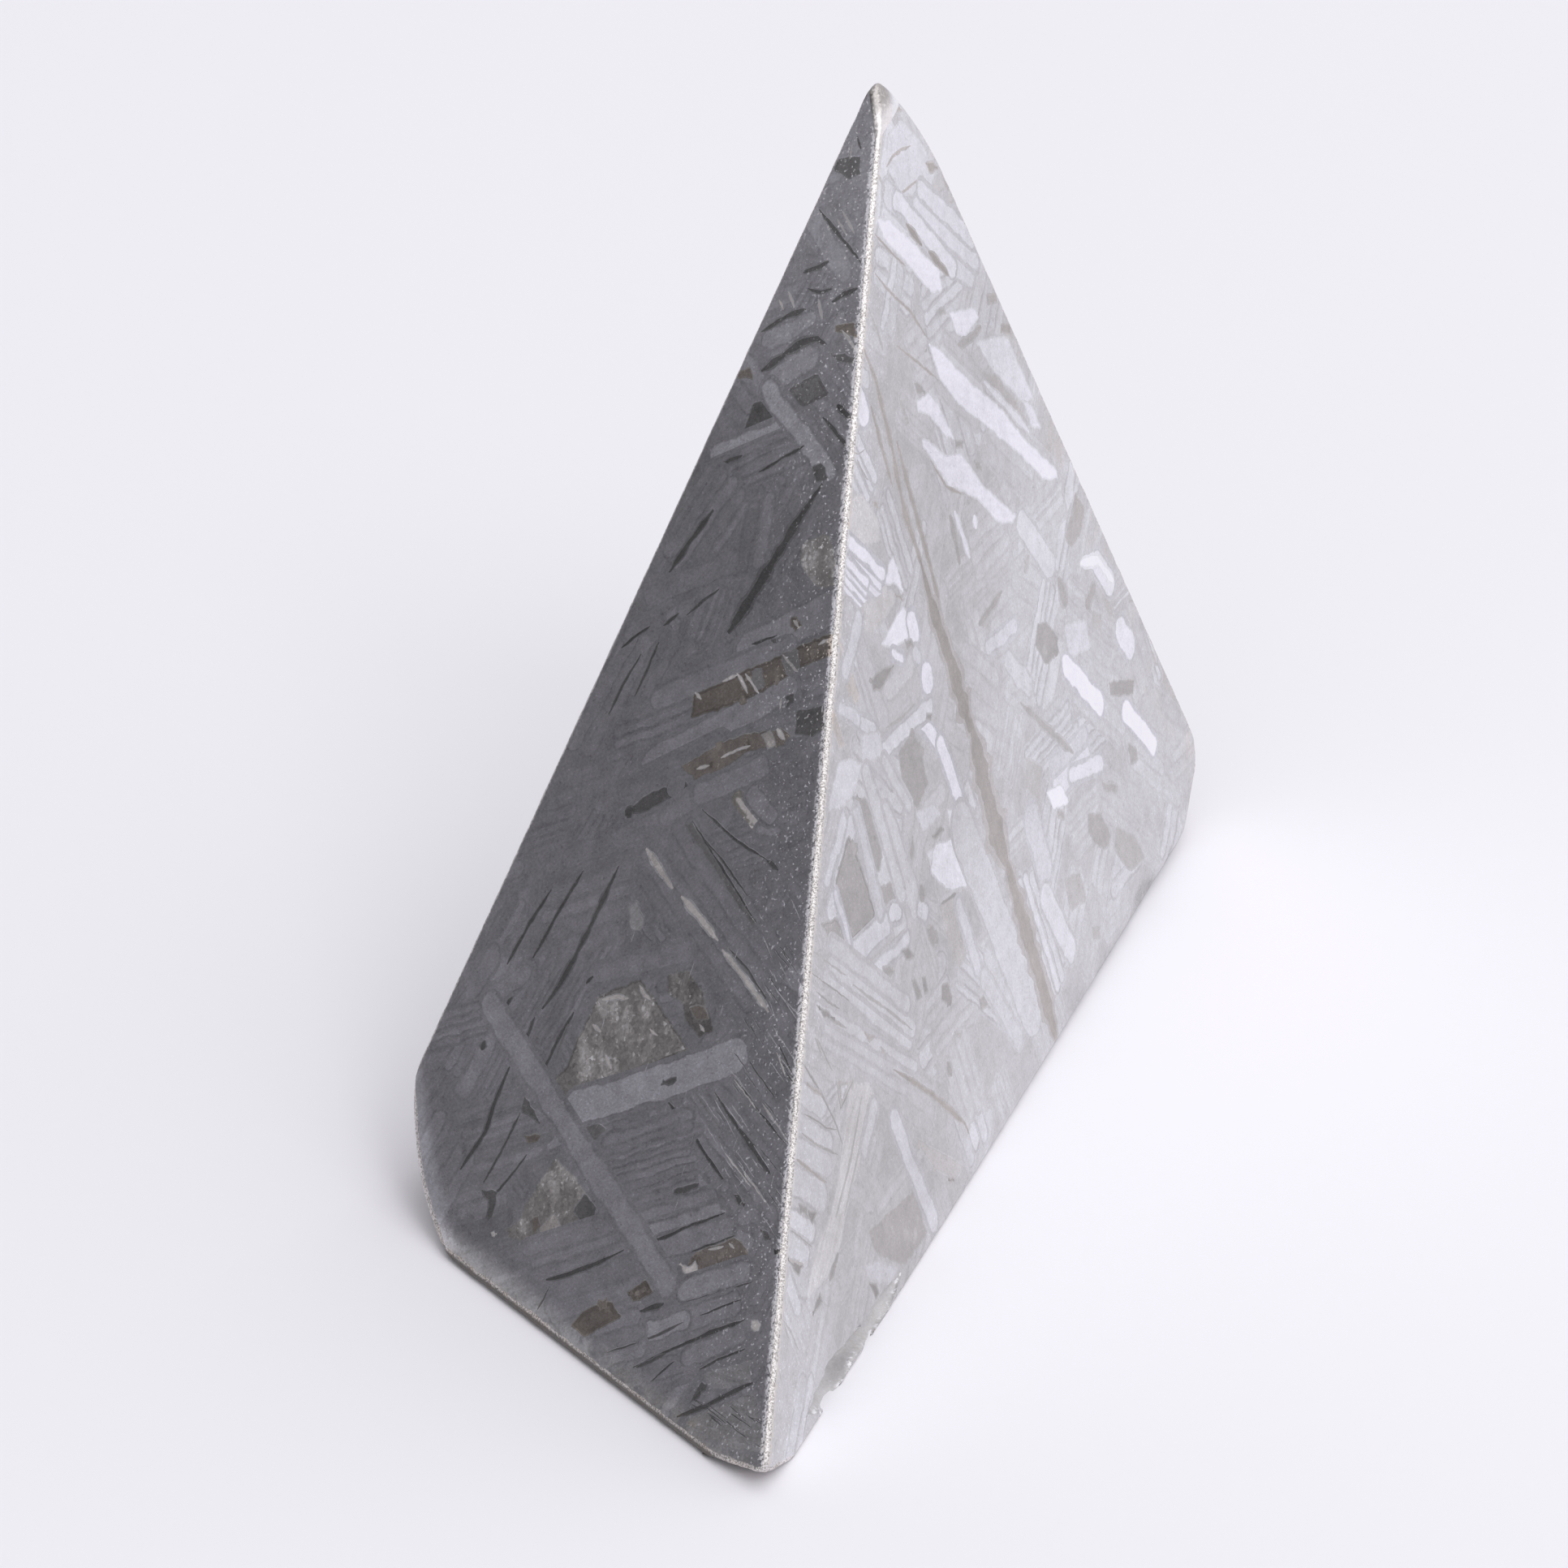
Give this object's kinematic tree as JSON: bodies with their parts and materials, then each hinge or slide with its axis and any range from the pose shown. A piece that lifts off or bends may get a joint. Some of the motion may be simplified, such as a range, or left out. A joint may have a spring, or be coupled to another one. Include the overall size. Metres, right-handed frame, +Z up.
{
  "type": "etched iron meteorite point",
  "caption": "Sawn and acid-etched iron meteorite piece, a leaning pointed wedge on a flat base, with crossing metal bands on its faces and a patch of natural rind.",
  "frame": {"origin": "middle of the bounding box, on the ground under the flat base", "axes": "+Z up, +Y away from the front foot along the piece's length, +X to the right of the ridge seen from the front"},
  "size_m": [0.0322, 0.051, 0.0401],
  "materials": {
    "etched_iron": "acid-etched, satin, with crossing grey bands and worn bright edges"
  },
  "bodies": {
    "root": {"meteorite_point": "etched_iron"}
  },
  "joints": []
}
